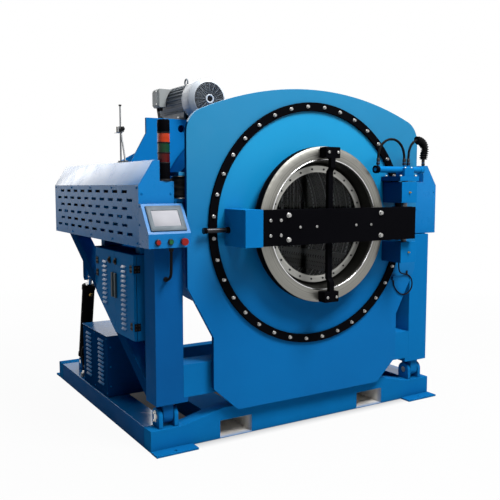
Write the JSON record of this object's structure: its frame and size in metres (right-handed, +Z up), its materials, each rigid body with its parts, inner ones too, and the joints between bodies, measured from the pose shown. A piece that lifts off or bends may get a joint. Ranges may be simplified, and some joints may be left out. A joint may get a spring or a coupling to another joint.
{
  "type": "tilting washer extractor",
  "caption": "Industrial washer extractor whose sprung drum hangs in a frame that lifting cylinders tip forward for unloading, with a barred round door and a side console.",
  "frame": {"origin": "on the floor, in the middle of the four anchor holes of the base", "axes": "+X to the right of someone facing the door, +Y to the rear along the drum, +Z up"},
  "size_m": [2.276, 2.2144, 2.276],
  "materials": {
    "blue_paint": "gloss",
    "black_paint": "satin",
    "bright_steel": "polished",
    "tub_steel": "satin",
    "zinc_steel": "satin",
    "rod_chrome": "polished",
    "motor_grey": "satin",
    "cast_pulley": "matte",
    "rubber_black": "matte",
    "hose_black": "satin",
    "glass_clear": "clear",
    "panel_frame": "matte",
    "screen_grey": "gloss",
    "button_red": "gloss",
    "button_green": "gloss",
    "lamp_lens": "clear",
    "tower_black": "satin",
    "gear_plastic": "matte",
    "actuator_alloy": "anodised"
  },
  "bodies": {
    "base": {"base_side_rails": "blue_paint", "base_cross_beams": "blue_paint", "foot_plates": "blue_paint", "base_pivot_ears": "blue_paint", "pivot_pins": "zinc_steel", "power_unit_cabinet": "blue_paint", "hydraulic_unit": "motor_grey", "lift_hose": "hose_black"},
    "lift_barrel_pair": {"lift_barrels": "black_paint"},
    "lift_rod_pair": {"lift_rods": "rod_chrome"},
    "tilt_frame": {"frame_columns": "blue_paint", "frame_braces": "blue_paint", "frame_beams": "blue_paint", "side_guards": "blue_paint", "guard_lids": "blue_paint", "console_housing": "blue_paint", "hmi_bezel": "panel_frame", "hmi_screen": "screen_grey", "signal_tower_body": "tower_black", "signal_lenses": "lamp_lens", "control_cabinet": "blue_paint", "control_gear": "gear_plastic", "limit_switch_stand": "zinc_steel", "console_cable": "hose_black", "air_springs": "rubber_black"},
    "front_cabinet_door": {"cabinet_door_front": "blue_paint"},
    "rear_cabinet_door": {"cabinet_door_rear": "blue_paint"},
    "stop": {"stop_button": "button_red"},
    "start": {"start_button": "button_green"},
    "emergency": {"emergency_button": "button_red"},
    "tub": {"front_plate": "blue_paint", "clamp_ring": "black_paint", "ring_bolts": "zinc_steel", "tub_shell": "blue_paint", "tub_rear": "blue_paint", "door_gasket": "rubber_black", "motor_frame": "blue_paint", "motor_body": "motor_grey", "motor_fan_cover": "motor_grey", "terminal_box": "motor_grey", "v_belts": "rubber_black", "drain_valve": "tub_steel", "hinge_brackets": "blue_paint", "door_actuators": "actuator_alloy", "latch_housing": "blue_paint", "actuator_hoses": "hose_black", "door_cable": "hose_black"},
    "drum": {"drum_shell": "tub_steel", "drum_lifters": "tub_steel", "drum_back": "tub_steel", "drum_pulley": "cast_pulley"},
    "rotor": {"motor_rotor": "cast_pulley"},
    "door": {"door_rim": "bright_steel", "door_glass": "glass_clear", "glass_clamp_ring": "bright_steel", "door_bar": "black_paint", "door_arms": "black_paint", "door_bolts": "zinc_steel", "hinge_shaft": "bright_steel"},
    "lock": {"lock_bolt": "bright_steel"}
  },
  "joints": [
    {"name": "tilt", "type": "hinge", "parent": "base", "child": "tilt_frame", "pos_m": [0, -0.85, 0.19], "axis": [1, 0, 0], "range_deg": [0, 20]},
    {"name": "lift_barrel_swing", "type": "hinge", "parent": "base", "child": "lift_barrel_pair", "pos_m": [0, 0.6, 0.185], "axis": [1, 0, 0], "range_deg": [0, 10.2]},
    {"name": "lift_rod_extend", "type": "slide", "parent": "lift_barrel_pair", "child": "lift_rod_pair", "axis": [0, -0.2306, 0.973], "range_m": [0, 0.48]},
    {"name": "suspension", "type": "slide", "parent": "tilt_frame", "child": "tub", "axis": [0, 0, 1], "range_m": [-0.03, 0], "stiffness_N_per_m": 600000, "springref_m": 0.06, "deforming": ["air_springs"]},
    {"name": "drum_spin", "type": "hinge", "parent": "tub", "child": "drum", "pos_m": [0, 0, 1.276], "axis": [0, 1, 0], "continuous": true},
    {"name": "motor_spin", "type": "hinge", "parent": "tub", "child": "rotor", "pos_m": [-0.366, 0, 2.096], "axis": [0, 1, 0], "continuous": true},
    {"name": "door_swing", "type": "hinge", "parent": "tub", "child": "door", "pos_m": [0.638, -1.105, 1.276], "axis": [0, 0, 1], "range_deg": [0, 110]},
    {"name": "lock_slide", "type": "slide", "parent": "tub", "child": "lock", "axis": [1, 0, 0], "range_m": [0, 0.03]},
    {"name": "cabinet_door_front_swing", "type": "hinge", "parent": "tilt_frame", "child": "front_cabinet_door", "pos_m": [-1.09, -0.688, 0.86], "axis": [0, 0, 1], "range_deg": [0, 110]},
    {"name": "cabinet_door_rear_swing", "type": "hinge", "parent": "tilt_frame", "child": "rear_cabinet_door", "pos_m": [-1.09, -0.037, 0.96], "axis": [0, 0, -1], "range_deg": [0, 110]},
    {"name": "stop_press", "type": "slide", "parent": "tilt_frame", "child": "stop", "axis": [0, 1, 0], "range_m": [0, 0.004], "stiffness_N_per_m": 800, "springref_m": -0.004},
    {"name": "start_press", "type": "slide", "parent": "tilt_frame", "child": "start", "axis": [0, 1, 0], "range_m": [0, 0.004], "stiffness_N_per_m": 800, "springref_m": -0.004},
    {"name": "emergency_press", "type": "slide", "parent": "tilt_frame", "child": "emergency", "axis": [0, 1, 0], "range_m": [0, 0.006], "stiffness_N_per_m": 800, "springref_m": -0.004}
  ],
  "couplings": [
    {"joint": "lift_barrel_swing", "follows": "tilt", "ratio": 0.50641},
    {"joint": "lift_rod_extend", "follows": "tilt", "m_per_rad": 1.3724},
    {"joint": "motor_spin", "follows": "drum_spin", "ratio": 4}
  ]
}
